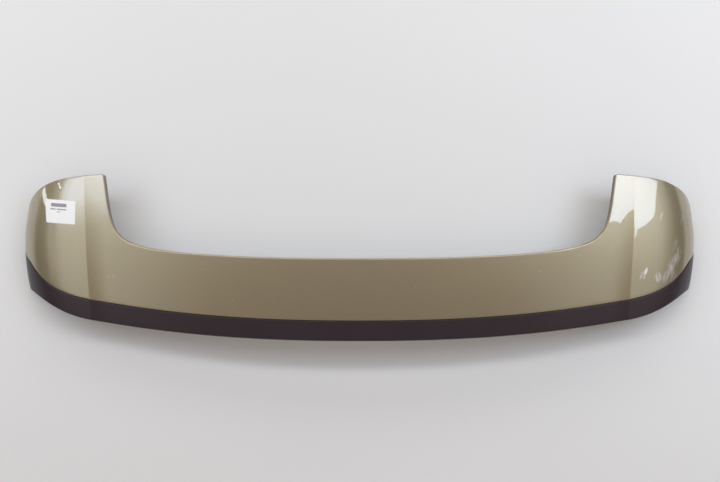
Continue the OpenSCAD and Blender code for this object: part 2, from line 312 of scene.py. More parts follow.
# Trailing edge, from the centre line to the front corner
fillet_trail_s = fillet_s - 6
valley_trail_s = crease_reach - valley_width
trail_heading = math.degrees(math.atan(trailing_rise * trailing_power / crease_reach))
trail_corner = [[crease_reach, trail_y(crease_reach)], trail_heading, 0, 76]
trail_shoulder = [[crease_reach + trail_shoulder_out, trail_shoulder_y], 21, 27, 18]
trail_foot = [[float(foot_s(foot_rear_y)), foot_rear_y], 90, 16, 0]
trail_at = outline(
    (LONG_END, edge_line(0, fillet_trail_s, trail_y)),
    (TIP_START, edge_line(fillet_trail_s, valley_trail_s, trail_y)),
    (CREASE, edge_line(valley_trail_s, crease_reach, trail_y)),
    (SHOULDER, bend_to_bend(trail_corner, trail_shoulder)),
    (FLANK, bend_to_bend(trail_shoulder, trail_foot)),
    (LAST, foot_line(foot_rear_y, foot_front_y, 0)))

# Line where the painted shell ends and the black band begins
band_end = crease_reach - 1
band_corner = [[band_end, band_y(band_end)], trail_heading, 0, 79.5]
band_shoulder = [[crease_reach + band_shoulder_out, band_shoulder_y], 43.5, 35.5, 18]
band_foot = [[float(foot_s(rim_rear_y)) - rim_width - 2, rim_rear_y], 63, 13.5, 0]
band_at = outline(
    (LONG_END, edge_line(0, fillet_trail_s, band_y)),
    (TIP_START, edge_line(fillet_trail_s, valley_trail_s, band_y)),
    (CREASE, edge_line(valley_trail_s, band_end, band_y)),
    (SHOULDER, bend_to_bend(band_corner, band_shoulder)),
    (FLANK, bend_to_bend(band_shoulder, band_foot)),
    (LAST, foot_line(rim_rear_y, foot_front_y + 5, rim_width)))

# Cut-out, the arm's inner side with its tip, and the arm's front edge
cutout_heading = math.degrees(math.atan(cutout_rise * cutout_power / fillet_s))
fillet_start = [[fillet_s, float(cutout_y(fillet_s))], cutout_heading, 0, 128]
knee = [[tip_reach - knee_in, strip_depth + knee_y], 47, 21, 22]
tip_inner = [[tip_reach - 0.8, arm_length - tip_round], 80, 40.5, 4.6]
tip_outer = [[tip_reach + tip_round, arm_length], 0, 4.6, 0]
front_crease = [[crease_at(arm_length), arm_length - 2], -7.5, 0, 28]
front_shoulder = [[crease_reach + front_shoulder_out, arm_length - front_shoulder_back], -36, 48, 20]
toe = [[float(foot_s(foot_front_y + toe_front)) - rim_width, foot_front_y + toe_front], -95, 24, 0]
front_at = outline(
    (LONG_END, edge_line(0, fillet_s, cutout_y)),
    (KNEE, bend_to_bend(fillet_start, knee)),
    (TIP_START, bend_to_bend(knee, tip_inner)),
    (TIP_END, bend_to_bend(tip_inner, tip_outer)),
    (CREASE, straight(tip_outer[0], front_crease[0])),
    (SHOULDER, bend_to_bend(front_crease, front_shoulder)),
    (LAST, bend_to_bend(front_shoulder, toe)))

# Columns of the fine meshes, closer at the crease. A stretch is (start, end, number of steps).
STRETCHES = [(0, LONG_END, 34), (LONG_END, TIP_START, 54), (TIP_START, TIP_END, 12),
             (TIP_END, CREASE, 14), (CREASE, SHOULDER, 60), (SHOULDER, FLANK, 36), (FLANK, LAST, 16)]
CREASE_COLUMNS = CREASE + np.array([-0.2, -0.13, -0.06, 0.04, 0.08, 0.14])
EVEN_COLUMNS = [np.linspace(a, b, n + 1) for a, b, n in STRETCHES]
U = np.unique(np.concatenate(EVEN_COLUMNS + [CREASE_COLUMNS]))
CREASE_COLUMN = int(np.argmin(np.abs(U - CREASE)))

FRONT = front_at(U)
BAND = band_at(U)
TRAIL = trail_at(U)
PAINT_LENGTH = np.linalg.norm(FRONT - BAND, axis=-1)
BAND_LENGTH = np.linalg.norm(BAND - TRAIL, axis=-1)
# Share of the full section left in the short columns at the front corner, and of the lip
FULL_PAINT_LENGTH = 70
FULL_BAND_LENGTH = 20
SHRINK = np.minimum(1, PAINT_LENGTH / FULL_PAINT_LENGTH)
LIP_SHRINK = np.minimum(1, BAND_LENGTH / FULL_BAND_LENGTH)

front_step = np.gradient(FRONT, U, axis=0)
INWARD = unit(np.stack([front_step[:, 1], -front_step[:, 0]], axis=-1))
INWARD[0] = [0, -1]
# How far a column belongs to the arm's tip, and the share of the tip's radius kept round it
TIP_EASE = 0.6
TIP_CORE = 0.8
TIPNESS = np.clip(1 - np.maximum(TIP_START - U, U - TIP_END) / TIP_EASE, 0, 1)


def inside_front(d):
    """Places at distance d inside the front outline. Round the tip they go on along its diagonal."""
    d = np.broadcast_to(d, U.shape)[:, None]
    near = np.minimum(d, TIP_CORE * tip_round)
    round_tip = near * INWARD + (d - near) * np.array([1, -1])
    return FRONT + mix(d * INWARD, round_tip, TIPNESS[:, None])


def share_of(a, b, d, length):
    """Places at distance d from outline a towards outline b."""
    return mix(a, b, (np.broadcast_to(d, U.shape) / length)[:, None])


def before_band(d):
    """Places at distance d ahead of the parting line."""
    return share_of(BAND, FRONT, d, PAINT_LENGTH)


def behind_band(d):
    """Places at distance d behind the parting line."""
    return share_of(BAND, TRAIL, d, BAND_LENGTH)


def before_trail(d):
    """Places at distance d ahead of the trailing edge."""
    return share_of(TRAIL, BAND, d, BAND_LENGTH)


def row(place, depth):
    """One row of a section: place and depth at every column, as [column, (s, y, depth)]."""
    return np.concatenate([place, np.broadcast_to(depth, U.shape)[:, None]], axis=-1)


def quarter(place_at, depth_at, n):
    """Rows round a quarter circle, from its side at 0 to its top at 90 degrees."""
    turns = np.linspace(0, math.pi / 2, n + 1)
    return [row(place_at(1 - math.cos(a)), depth_at(1 - math.sin(a))) for a in turns]


def smooth(rows, kinds, counts):
    """Curve through rows. A kind is s for smooth, c for a corner, n or p for a tangent that takes
    the direction of the next or the previous span. A count is the number of steps in each span."""
    spans = [b - a for a, b in zip(rows, rows[1:])]
    lengths = [np.linalg.norm(v, axis=-1, keepdims=True) + 1e-6 for v in spans]
    heads = [v / d for v, d in zip(spans, lengths)]

    def tangent(i, side):
        if i == 0 or kinds[i] == "n" or (kinds[i] == "c" and side == "after"):
            return heads[min(i, len(heads) - 1)]
        if i == len(rows) - 1 or kinds[i] in "pc":
            return heads[i - 1]
        before, after = lengths[i - 1], lengths[i]
        return (heads[i - 1] * after + heads[i] * before) / (before + after)

    out = []
    for i, n in enumerate(counts):
        a, b, d = rows[i], rows[i + 1], lengths[i]
        ta, tb = tangent(i, "after") * d, tangent(i + 1, "before") * d
        for t in np.arange(n) / n:
            out.append((2 * t ** 3 - 3 * t ** 2 + 1) * a + (t ** 3 - 2 * t ** 2 + t) * ta
                       + (3 * t ** 2 - 2 * t ** 3) * b + (t ** 3 - t ** 2) * tb)
    return out + [rows[-1]]


# Columns on either side of the crease that move with it, and the angle at which an edge is sharp
CREASE_NEIGHBOURS = 5
SHARP_ANGLE = math.radians(34)


def on_crease(rows):
    """The rows with their crease column moved onto the crease, and its neighbours with it."""
    pull = np.clip(1 - np.abs(U - CREASE) / CREASE_NEIGHBOURS, 0, 1) ** 2
    out = []
    for r in rows:
        r = r.copy()
        shift = (crease_at(r[CREASE_COLUMN, 1]) - r[CREASE_COLUMN, 0]) * pull
        step = np.gradient(r[:, :2], axis=0)
        across = np.where(np.abs(step[:, 0]) < 1e-6, 1, step[:, 0])
        steepness = np.where(pull > 0, step[:, 1] / across, 0)
        r[:, 0] += shift
        r[:, 1] += shift * steepness
        out.append(r)
    return out


def new_object(name, points, faces, slot, materials):
    """A smooth-shaded mesh object on the spoiler's body, from points in millimetres."""
    mesh = bpy.data.meshes.new(name)
    mesh.from_pydata((np.asarray(points) * MM).tolist(), [], faces)
    faced = bmesh.new()
    faced.from_mesh(mesh)
    bmesh.ops.recalc_face_normals(faced, faces=faced.faces)
    faced.to_mesh(mesh)
    faced.free()
    mesh.polygons.foreach_set("use_smooth", [True] * len(mesh.polygons))
    mesh.set_sharp_from_angle(angle=SHARP_ANGLE)
    mesh.update()
    obj = bpy.data.objects.new(name, mesh)
    bpy.context.scene.collection.objects.link(obj)
    for material in materials:
        mesh.materials.append(material)
    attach(obj, BODY)
    return obj


def loft(rows, columns=None):
    """Points and faces of a closed skin through rows that form a loop, mirrored to both sides. It
    takes all columns, or the given number of them from the centre line."""
    half = np.stack([below(r[:, :2], r[:, 2]) for r in on_crease(rows)], axis=1)[:columns]
    left = half[:0:-1] * np.array([-1, 1, 1])
    rings = np.concatenate([left, half])
    n, m = rings.shape[:2]
    faces = []
    for i in range(n - 1):
        for j in range(m):
            a = i * m + j
            b = i * m + (j + 1) % m
            faces.append((a, b, b + m, a + m))
    faces.append(tuple(range(m - 1, -1, -1)))
    faces.append(tuple(range((n - 1) * m, n * m)))
    return rings.reshape(-1, 3), faces


def lathe(profile, centre, n, closed=False):
    """Points and faces of a turned shape. Its profile is a list of [radius, z]."""
    profile = np.array(profile, float)
    turns = np.arange(n) * 2 * math.pi / n
    points = [[centre[0] + r * math.cos(a), centre[1] + r * math.sin(a), centre[2] + z]
              for r, z in profile for a in turns]
    faces = []
    m = len(profile)
    for i in range(m if closed else m - 1):
        for j in range(n):
            a = i * n + j
            b = i * n + (j + 1) % n
            c = (i + 1) % m * n + (j + 1) % n
            d = (i + 1) % m * n + j
            faces.append((a, b, c, d))
    if not closed:
        faces.append(tuple(range(n - 1, -1, -1)))
        faces.append(tuple(range((m - 1) * n, m * n)))
    return points, faces


def joined(parts):
    """Several point and face lists as one."""
    points, faces = [], []
    for p, f in parts:
        base = len(points)
        points.extend(list(map(list, p)))
        faces.extend(tuple(i + base for i in face) for face in f)
    return points, faces


# Materials


def fill(tree, node, values):
    """Set a node's inputs. A value may be another node's output."""
    for key, value in values.items():
        if isinstance(value, bpy.types.NodeSocket):
            tree.links.new(value, node.inputs[key])
        else:
            node.inputs[key].default_value = value


def add(tree, kind, values=None, **props):
    """A new node with its properties and inputs set."""
    node = tree.nodes.new(kind)
    for key, value in props.items():
        setattr(node, key, value)
    fill(tree, node, values or {})
    return node


def new_material(name):
    """A node material, with its node tree and its Principled shader."""
    material = bpy.data.materials.new(name)
    material.use_nodes = True
    tree = material.node_tree
    return material, tree, tree.nodes["Principled BSDF"]


def maths(tree, operation, a, b, clamp=False):
    """Output of a maths node."""
    return add(tree, "ShaderNodeMath", {0: a, 1: b}, operation=operation, use_clamp=clamp).outputs[0]


def times(tree, a, b):
    """Product of two values."""
    return maths(tree, "MULTIPLY", a, b)


def highest(tree, values):
    """The highest of several values."""
    top = values[0]
    for value in values[1:]:
        top = maths(tree, "MAXIMUM", top, value)
    return top


def ramp(tree, value, low, high):
    """value mapped from low..high to 0..1, with smooth ends."""
    node = add(tree, "ShaderNodeMapRange", {"Value": value, "From Min": low, "From Max": high},
               interpolation_type="SMOOTHSTEP")
    return node.outputs["Result"]


def between(tree, share, low, high):
    """Number at a share of the way from low to high."""
    node = add(tree, "ShaderNodeMapRange", {"Value": share, "To Min": low, "To Max": high})
    return node.outputs["Result"]


def blend(tree, factor, a, b):
    """Colour between a and b."""
    node = add(tree, "ShaderNodeMix", {"Factor": factor, "A": a, "B": b}, data_type="RGBA")
    return node.outputs["Result"]


def place_of(tree):
    """The point's place in the spoiler's frame, in metres."""
    return add(tree, "ShaderNodeTexCoord").outputs["Object"]


def part_of(tree, vector, axis):
    """One coordinate of a vector."""
    return add(tree, "ShaderNodeSeparateXYZ", {"Vector": vector}).outputs[axis]


def length_of(tree, vector):
    """Length of a vector."""
    return add(tree, "ShaderNodeVectorMath", {0: vector}, operation="LENGTH").outputs["Value"]


def mapped(tree, place, turn, scale, centre=(0, 0, 0)):
    """A place in axes that are moved to a centre, turned clockwise about Z, in degrees, and
    scaled."""
    rotation = (0, 0, -math.radians(turn))
    values = {"Vector": place, "Location": centre, "Rotation": rotation, "Scale": scale}
    return add(tree, "ShaderNodeMapping", values, vector_type="TEXTURE").outputs[0]


def noise(tree, place, scale, detail, stretch=(1, 1, 1), turn=0.0):
    """Noise value at a place, stretched along turned axes."""
    values = {"Vector": mapped(tree, place, turn, stretch), "Scale": scale, "Detail": detail}
    return add(tree, "ShaderNodeTexNoise", values).outputs["Fac"]


def voronoi(tree, place, scale, feature="F1"):
    """Outputs of a cell pattern."""
    return add(tree, "ShaderNodeTexVoronoi", {"Vector": place, "Scale": scale}, feature=feature).outputs


def patch(tree, place, centre, size, turn=0.0):
    """1 in the core of a turned ellipsoid, falling to 0 at its rim. Its centre and half sizes are in
    millimetres."""
    inside = mapped(tree, place, turn, Vector(size) * MM, Vector(centre) * MM)
    return ramp(tree, length_of(tree, inside), 1.0, PATCH_CORE)


def bump(tree, height, strength, distance):
    """Normal of a bump."""
    node = add(tree, "ShaderNodeBump", {"Height": height, "Strength": strength, "Distance": distance})
    return node.outputs["Normal"]


def skin_point(s, y):
    """The point of the skin at one place."""
    return below(np.array([[s, y]], float), np.zeros(1))[0]


# Share of a patch that has its full strength, and share of bare metal in the paint
PATCH_CORE = 0.3
METAL = 0.82
# Scuffs on the right arm as [s, y, half width, half length, turn, strength]
SCUFFS = [[485, 117, 3.4, 9.5, 18, 2], [482, 111, 4, 10, 8, 0.6], [477, 110, 5, 9, 24, 0.5],
          [509, 107, 8, 12, -6, 0.55], [524, 108, 7, 16, 14, 0.5], [534, 124, 10, 26, 17, 0.58],
          [545, 142, 9, 24, 20, 0.58], [541, 108, 9, 16, 14, 0.5], [514, 209, 3.5, 13, 16, 0.28],
          [558, 205, 4, 15, 10, 0.25], [541, 163, 5, 17, 22, 0.33]]
SCUFF_HEIGHT = 12
# Specks of dust on the strip and the left arm as [s, y], and their half sizes
SPECKS = [[-423, 108], [-469, 49], [-415, 109], [-470, 230], [92, 92], [-210, 70], [301, 118]]
SPECK_SIZE = (2.0, 1.5, 3)


def scuff_mark(tree, place, s, y, width, length, turn, strength):
    """Cover of one scuff. Streaks run along it, so the noise is long that way and fine across it,
    and a strength above 1 fills the gaps between them."""
    streak = noise(tree, place, 90.0, 2.5, (0.2, 1.3, 0.2), turn)
    spot = patch(tree, place, skin_point(s, y), (width, length, SCUFF_HEIGHT), turn)
    cover = times(tree, ramp(tree, streak, 0.38, 0.58), strength)
    return times(tree, spot, maths(tree, "ADD", cover, max(0, strength - 1), True))


def paint_material():
    """Champagne metallic under a clear coat, with flakes, orange peel, scuffs and a little dust."""
    material, tree, shader = new_material("champagne_paint")
    place = place_of(tree)
    flakes = voronoi(tree, place, 2600.0)["Color"]
    flake = add(tree, "ShaderNodeSeparateColor", {"Color": flakes}).outputs["Red"]
    cloud = noise(tree, place, 9.0, 3.0)
    tone = blend(tree, flake, (0.335, 0.288, 0.172, 1), (0.430, 0.376, 0.230, 1))
    tone = blend(tree, times(tree, cloud, 0.22), tone, (0.30, 0.266, 0.163, 1))
    scuff = highest(tree, [scuff_mark(tree, place, *mark) for mark in SCUFFS])
    specks = highest(tree, [patch(tree, place, skin_point(s, y), SPECK_SIZE) for s, y in SPECKS])
    fine_dust = ramp(tree, noise(tree, place, 420.0, 1.0), 0.74, 0.8)
    dust = highest(tree, [times(tree, specks, 0.5), times(tree, fine_dust, 0.25)])
    tone = blend(tree, times(tree, scuff, 0.9), tone, (0.80, 0.78, 0.81, 1))
    tone = blend(tree, dust, tone, (0.6, 0.56, 0.5, 1))
    # The flakes' mirrors are bare metal, and scuffs and dust aren't
    dull = highest(tree, [scuff, dust])
    peel = noise(tree, place, 260.0, 2.0)
    wear = maths(tree, "ADD", times(tree, peel, 0.12), times(tree, scuff, -0.6))
    fill(tree, shader, {
        "Base Color": tone,
        "Metallic": times(tree, maths(tree, "SUBTRACT", 1.0, dull), METAL),
        "Roughness": between(tree, flake, 0.40, 0.50),
        "Normal": bump(tree, flake, 0.10, 0.0003),
        "Coat Weight": 1.0,
        "Coat IOR": 1.8,
        "Coat Roughness": 0.025,
        "Coat Normal": bump(tree, wear, 0.08, 0.0006),
    })
    return material


def flange_shade_material():
    """Paint on the turned-down flange: full in the cut-out's corner, and on the arms' inner sides
    a dark dull tone that is painted shade, for the shadow the flange lies in there."""
    material, tree, shader = new_material("flange_paint_and_shade")
    place = place_of(tree)
    # Painted shade: the flange on the arms' inner sides gets a dark, dull, non-metallic tone in place
    # of its paint
    shade_share = ramp(tree, part_of(tree, place, "Y"), 0.045, 0.078)
    cloud = noise(tree, place, 60.0, 3.0)
    full = blend(tree, cloud, (0.34, 0.29, 0.19, 1), (0.42, 0.36, 0.245, 1))
    shade_tone = blend(tree, cloud, (0.16, 0.125, 0.10, 1), (0.23, 0.185, 0.15, 1))
    fill(tree, shader, {
        "Base Color": blend(tree, shade_share, full, shade_tone),
        "Metallic": times(tree, maths(tree, "SUBTRACT", 1.0, shade_share), METAL),
        "Roughness": 0.48,
        "Specular IOR Level": 0.35,
        "Normal": bump(tree, noise(tree, place, 700.0, 2.0), 0.2, 0.0003),
    })
    return material


def black_material():
    """Black moulded plastic: glossy on the lip band, fine-grained on the underside."""
    material, tree, shader = new_material("black_plastic")
    place = place_of(tree)
    normal = add(tree, "ShaderNodeNewGeometry").outputs["True Normal"]
    under = ramp(tree, part_of(tree, normal, "Z"), 0.05, -0.25)
    cloud = noise(tree, place, 14.0, 4.0)
    # Partly painted reflection: the black is real, but its reddish tint on the band and upper faces
    # stands in for the reflection of a red surround; the underside stays neutral
    tone = blend(tree, cloud, (0.027, 0.018, 0.021, 1), (0.040, 0.027, 0.031, 1))
    tone = blend(tree, times(tree, under, 0.8), tone, (0.036, 0.036, 0.038, 1))
    film = ramp(tree, noise(tree, place, 380.0, 1.0), 0.73, 0.8)
    tone = blend(tree, times(tree, film, 0.12), tone, (0.3, 0.29, 0.28, 1))
    rough = maths(tree, "ADD", times(tree, cloud, 0.08), times(tree, under, 0.28))
    grain = voronoi(tree, place, 900.0, "SMOOTH_F1")["Distance"]
    height = times(tree, grain, maths(tree, "ADD", under, 0.03))
    fill(tree, shader, {
        "Base Color": tone,
        "Roughness": maths(tree, "ADD", rough, 0.33),
        "Specular IOR Level": 0.38,
        "Normal": bump(tree, height, 0.35, 0.0004),
    })
    return material


def steel_material():
    """Zinc-plated steel with a faint yellow passivation."""
    material, tree, shader = new_material("plated_steel")
    cloud = noise(tree, place_of(tree), 240.0, 3.0)
    fill(tree, shader, {
        "Base Color": blend(tree, cloud, (0.60, 0.58, 0.47, 1), (0.72, 0.69, 0.55, 1)),
        "Metallic": 1.0,
        "Roughness": between(tree, cloud, 0.24, 0.42),
        "Normal": bump(tree, cloud, 0.1, 0.0002),
    })
    return material


def foam_material():
    """Closed-cell sealing foam, dull with small open cells."""
    material, tree, shader = new_material("sealing_foam")
    cells = voronoi(tree, place_of(tree), 1300.0)["Distance"]
    fill(tree, shader, {
        "Base Color": blend(tree, cells, (0.045, 0.045, 0.05, 1), (0.075, 0.075, 0.08, 1)),
        "Roughness": 0.88,
        "Normal": bump(tree, cells, 0.7, 0.0006),
    })
    return material


def nylon_material():
    """Natural nylon of the push-in clips."""
    material, tree, shader = new_material("natural_nylon")
    cloud = noise(tree, place_of(tree), 180.0, 3.0)
    fill(tree, shader, {
        "Base Color": blend(tree, cloud, (0.70, 0.68, 0.60, 1), (0.80, 0.78, 0.71, 1)),
        "Roughness": 0.42,
        "Subsurface Weight": 0.15,
        "Subsurface Radius": (0.002, 0.0018, 0.0014),
        "Normal": bump(tree, cloud, 0.1, 0.0003),
    })
    return material


paint = paint_material()
flange = flange_shade_material()
black = black_material()
steel = steel_material()
foam = foam_material()
nylon = nylon_material()

# Painted outer shell, from the flange's foot over the skin to the parting line and back inside
PAINT_ROWS = 44
INNER_ROWS = 10
FLANGE_ROWS = 3
EDGE_STEPS = 6
# Shares of the edge's radius: the bevel inside the flange, and the last step to the parting line
BEVEL = 0.3
LAST_STEP = 0.4
wall = outer_wall * SHRINK
radius = edge_radius * SHRINK
paint_start = inside_front(radius)
paint_end = before_band(radius)
inner_start = inside_front(wall + radius)
outer_rows = [row(FRONT, mix(flange_depth, radius, i / FLANGE_ROWS)) for i in range(FLANGE_ROWS)]
outer_rows += quarter(lambda t: inside_front(radius * t), lambda t: radius * t, EDGE_STEPS)
outer_rows += [row(mix(paint_start, paint_end, j / PAINT_ROWS), 0) for j in range(1, PAINT_ROWS)]
outer_rows += quarter(lambda t: before_band(radius * t), lambda t: edge_radius * t, EDGE_STEPS)[::-1]
inner_rows = [row(inside_front(wall), flange_depth), row(inside_front(wall), outer_wall + edge_radius),
              row(inside_front(wall + BEVEL * radius), outer_wall + BEVEL * edge_radius)]
inner_rows += [row(mix(inner_start, paint_end, j / INNER_ROWS), outer_wall)
               for j in range(INNER_ROWS + 1)]
inner_rows += [row(before_band(LAST_STEP * radius), outer_wall), row(BAND, outer_wall)]
outer_shell = new_object("painted_shell", *loft(outer_rows + inner_rows[::-1]), "paint",
                         [paint, flange, black])
# The flange below the edge's radius has a material of its own, with painted shade on the arms' inner
# sides, and the inner face and the two end caps are bare moulding
FLANGE_SHADE_INDEX = 1
BARE_FINISH = 2
ring_size = len(outer_rows) + len(inner_rows)
for polygon in outer_shell.data.polygons:
    along_ring = polygon.index % ring_size
    if len(polygon.vertices) > 4 or along_ring >= len(outer_rows) - 1:
        polygon.material_index = BARE_FINISH
    elif along_ring < FLANGE_ROWS:
        polygon.material_index = FLANGE_SHADE_INDEX
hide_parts("outer_shell")

# Black lower shell with its lip band
LIP_ROUND = 3
LIP_FOOT_DROP = 3
GROOVE_ROUND = 0.8
TONGUE_KEPT = 1.2
UPSTAND_DROP = 2
lip = LIP_SHRINK
seat = outer_wall + glue_gap
gap = seat * SHRINK
groove = reveal_gap * lip
tongue_end = before_band(tongue_length * np.minimum(1, SHRINK * TONGUE_KEPT))
upstand = inside_front(gap)
upstand_top = seat + UPSTAND_DROP
land = inside_front(gap + land_width * SHRINK)
rear = before_trail(lip_reach * lip)
lip_top = before_trail(LIP_ROUND * lip)
lip_foot = nose_depth + LIP_FOOT_DROP
# Depth of the section behind the land, as [share of the way to its rear end, share of its depth]
BELLY = [[0.09, 0.62], [0.22, 0.86], [0.39, 0.98], [0.58, 1], [0.75, 0.86], [0.9, 0.55]]
BELLY_TAPER = 0.45
# The lip's nose from below, as [distance ahead of the trailing edge, depth]
NOSE = [[4.5, nose_depth], [0.8, 0.65 * nose_depth], [0, nose_edge * nose_depth], [0.9, 0.9]]


def belly_depth(place, share):
    """The section thins in the short columns, and towards the flank's lower edge."""
    full = mix(flange_depth, mix(flange_depth, section_depth, SHRINK), share)
    height = below(place, np.zeros(len(place)))[:, 2]
    return np.minimum(full, lip_foot + BELLY_TAPER * np.maximum(0, height))


def belly(start, thickness):
    """Rows of the section from a start to its rear end, less a wall's thickness."""
    places = [(mix(start, rear, reach), share) for reach, share in BELLY]
    return [row(place, belly_depth(place, share) - thickness) for place, share in places]


lower_rows = [row(upstand, upstand_top), row(upstand, flange_depth), row(land, flange_depth)]
lower_rows += belly(land, 0)
lower_rows.append(row(rear, lip_foot))
lower_rows += [row(before_trail(reach * lip), depth) for reach, depth in NOSE]
lower_rows += [row(lip_top, 0), row(mix(lip_top, BAND, 0.5), 0),
               row(behind_band(groove + GROOVE_ROUND * lip), 0), row(behind_band(groove), GROOVE_ROUND),
               row(behind_band(groove), seat), row(tongue_end, seat)]
lower_kinds = "ccc" + "s" * len(BELLY) + "ssss" + "snspncc"
lower_counts = [2, 2] + [4] * 12 + [6, 6, 3, 2, 2]
lower_outer = smooth(lower_rows, lower_kinds, lower_counts)

# Its inner face, from the upstand through the hollow of the lip to the tongue
LAND_SPARE = 0.6
HOLLOW_SPARE = 2
upstand_in = inside_front(gap + inner_wall * SHRINK)
land_in = inside_front(gap + (land_width + LAND_SPARE * inner_wall) * SHRINK)
hollow = before_trail((hollow_reach + HOLLOW_SPARE) * lip)
lower_inner = [row(upstand_in, upstand_top), row(upstand_in, flange_depth - inner_wall),
               row(land_in, flange_depth - inner_wall)]
lower_inner += belly(land_in, inner_wall)
lower_inner += [row(before_trail((lip_reach + 1) * lip), lip_foot - inner_wall),
                row(hollow, nose_depth - 0.7 * inner_wall), row(hollow, inner_wall),
                row(mix(hollow, BAND, 0.6), inner_wall), row(behind_band(4 * lip), inner_wall),
                row(behind_band(groove + inner_wall * lip), seat + inner_wall),
                row(tongue_end, seat + inner_wall)]
# At its end on the flank's foot the inner face turns out into a wall that closes the hollow
for i, r in enumerate(lower_inner):
    r[-1] = mix(lower_outer[0][-1], lower_outer[-1][-1], (i + 1) / (len(lower_inner) + 1))
lower_part = loft(lower_outer + lower_inner[::-1])


def face_z(s, y, proud):
    """Height of a boss's face that stands out below the section at a place."""
    return skin_point(s, y)[2] - section_depth - proud


def fixing(x, y, z):
    """A fixing point in the spoiler's frame, with the height of its boss's inner end."""
    return [x, y - origin_y, z, skin_point(x, y)[2] - boss_head_depth]


arm_x = crease_reach + arm_stud_outset
arm_z = face_z(arm_x, arm_stud_y, arm_boss_proud)
middle_x = middle_stud_spacing / 2
middle_z = face_z(middle_x, middle_stud_y, middle_boss_proud)
clip_x = clip_spacing / 2
clip_z = face_z(clip_x, clip_y, clip_boss_proud)
SIDES = (-1, 1)
ARM_STUD_YS = (arm_stud_y, arm_stud_y + arm_stud_spacing_y)
STUDS = [fixing(side * arm_x, y, arm_z) for side in SIDES for y in ARM_STUD_YS]
STUDS += [fixing(side * middle_x, middle_stud_y, middle_z) for side in SIDES]
CLIPS = [fixing(side * clip_x, clip_y, clip_z) for side in SIDES]

# Rounded rims of a boss's face, as [distance out from the bore, height] and as [distance in from
# its side, height]
BOSS_SIDES = 64
BORE_SPARE = 0.1
BORE_RIM = [[0, 0.5], [0.15, 0.15], [0.5, 0]]
FACE_RIM = [[0.8, 0], [0.25, 0.2], [0, 0.8]]


def boss(point, d, pin_d):
    """A boss as a ring round its pin, which reaches up into the hollow."""
    x, y, z, top = point
    r, b = d / 2, (pin_d + BORE_SPARE) / 2
    profile = [[b, top - z]] + [[b + out, up] for out, up in BORE_RIM]
    profile += [[r - back, up] for back, up in FACE_RIM] + [[r, top - z]]
    return lathe(profile, [x, y, z], BOSS_SIDES, closed=True)


bosses = [boss(p, boss_d, stud_collar_d) for p in STUDS]
bosses += [boss(p, clip_boss_d, clip_root_d) for p in CLIPS]
lower_shell = new_object("lower_shell_moulding", *joined([lower_part] + bosses), "black_plastic",
                         [black])
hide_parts("lower_shell")

# Studs with a rolled thread on the part that stands out
PITCH = 1.0
THREAD_DEPTH = 0.58
THREAD_START = 2.5
THREAD_RUN_IN = 1.5
CHAMFER = 1
ROUND = 30
STEPS_PER_TURN = 6
# The head's profile as [radius, height above the boss's inner end], and the collar's start
HEAD = [[7.5, 0], [7.5, 2.4], [6.9, 3], [0.5, 3]]
COLLAR_START = 0.02
HEAD_SIDES = 40


def threaded(point):
    """The exposed shank with its thread, its plain start below the boss and its chamfered end."""
    x, y, z, _ = point
    rows = int(stud_length / PITCH * STEPS_PER_TURN)
    heights = -np.linspace(0, stud_length, rows + 1)
    turns = np.arange(ROUND) * 2 * math.pi / ROUND
    points = []
    for h in heights:
        depth = THREAD_DEPTH * min(1, max(0, (-h - THREAD_START) / THREAD_RUN_IN))
        end = max(0, CHAMFER - (h + stud_length))
        for a in turns:
            phase = (h / PITCH + a / (2 * math.pi)) % 1
            r = stud_d / 2 - max(depth * (1 - abs(2 * phase - 1)), end)
            points.append([x + r * math.cos(a), y + r * math.sin(a), z + h])
    faces = []
    for i in range(rows):
        for j in range(ROUND):
            a = i * ROUND + j
            b = i * ROUND + (j + 1) % ROUND
            faces.append((a, a + ROUND, b + ROUND, b))
    faces.append(tuple(range(ROUND)))
    faces.append(tuple(range((rows + 1) * ROUND - 1, rows * ROUND - 1, -1)))
    return points, faces


def stud_head(point):
    """Collar in the boss's bore and round head inside the hollow."""
    x, y, z, top = point
    h = top - z
    profile = [[stud_collar_d / 2, COLLAR_START], [stud_collar_d / 2, h]]
    return lathe(profile + [[r, h + up] for r, up in HEAD], [x, y, z], HEAD_SIDES)


stud_parts = [threaded(p) for p in STUDS] + [stud_head(p) for p in STUDS]
studs = new_object("threaded_studs", *joined(stud_parts), "plated_steel", [steel])
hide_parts("mounting_studs")

# Foam strip under the cut-out edge up to its corners, with rounded lower corners. Its profile is
# [share of its width, height above its foot].
SEAL_PROFILE = [[0, 1.2], [0.06, 0.35], [0.17, 0], [0.5, 0], [0.83, 0], [0.94, 0.35], [1, 1.2]]
SEAL_COLUMNS = int(np.argmin(np.abs(U - KNEE))) + 1
seal_in = inside_front(seat)
seal_out = inside_front(seat + land_width)
seal_depth = flange_depth + seal_height
seal_rows = [row(seal_in, flange_depth)]
seal_rows += [row(mix(seal_in, seal_out, share), seal_depth - up) for share, up in SEAL_PROFILE]
seal_rows.append(row(seal_out, flange_depth))
seal = new_object("foam_strip", *loft(seal_rows, SEAL_COLUMNS), "foam", [foam])
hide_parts("edge_seal")

# The rings and the clips keep their solids and get their materials
for name, material in (("stud_gaskets", foam), ("front_clips", nylon)):
    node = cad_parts[name]
    node.data.materials.clear()
    node.data.materials.append(material)

# Paper stock label on the left arm, laid on the skin, with plain bars in place of its printing
LABEL = np.array([[-544.2, 240.3], [-481.4, 235.2], [-481.2, 195.8], [-536.4, 200.3]])
LABEL_STEPS = 24
LABEL_LIFT = 0.1
LABEL_THICKNESS = 0.14
# The bars as shares of the label from its top left corner: left, top, right, bottom
BARS = [(0.20, 0.15, 0.72, 0.30), (0.17, 0.38, 0.36, 0.43), (0.40, 0.38, 0.72, 0.43),
        (0.40, 0.50, 0.52, 0.53)]
BAR_THICKNESS = 0.02
BAR_STEPS = (10, 4)


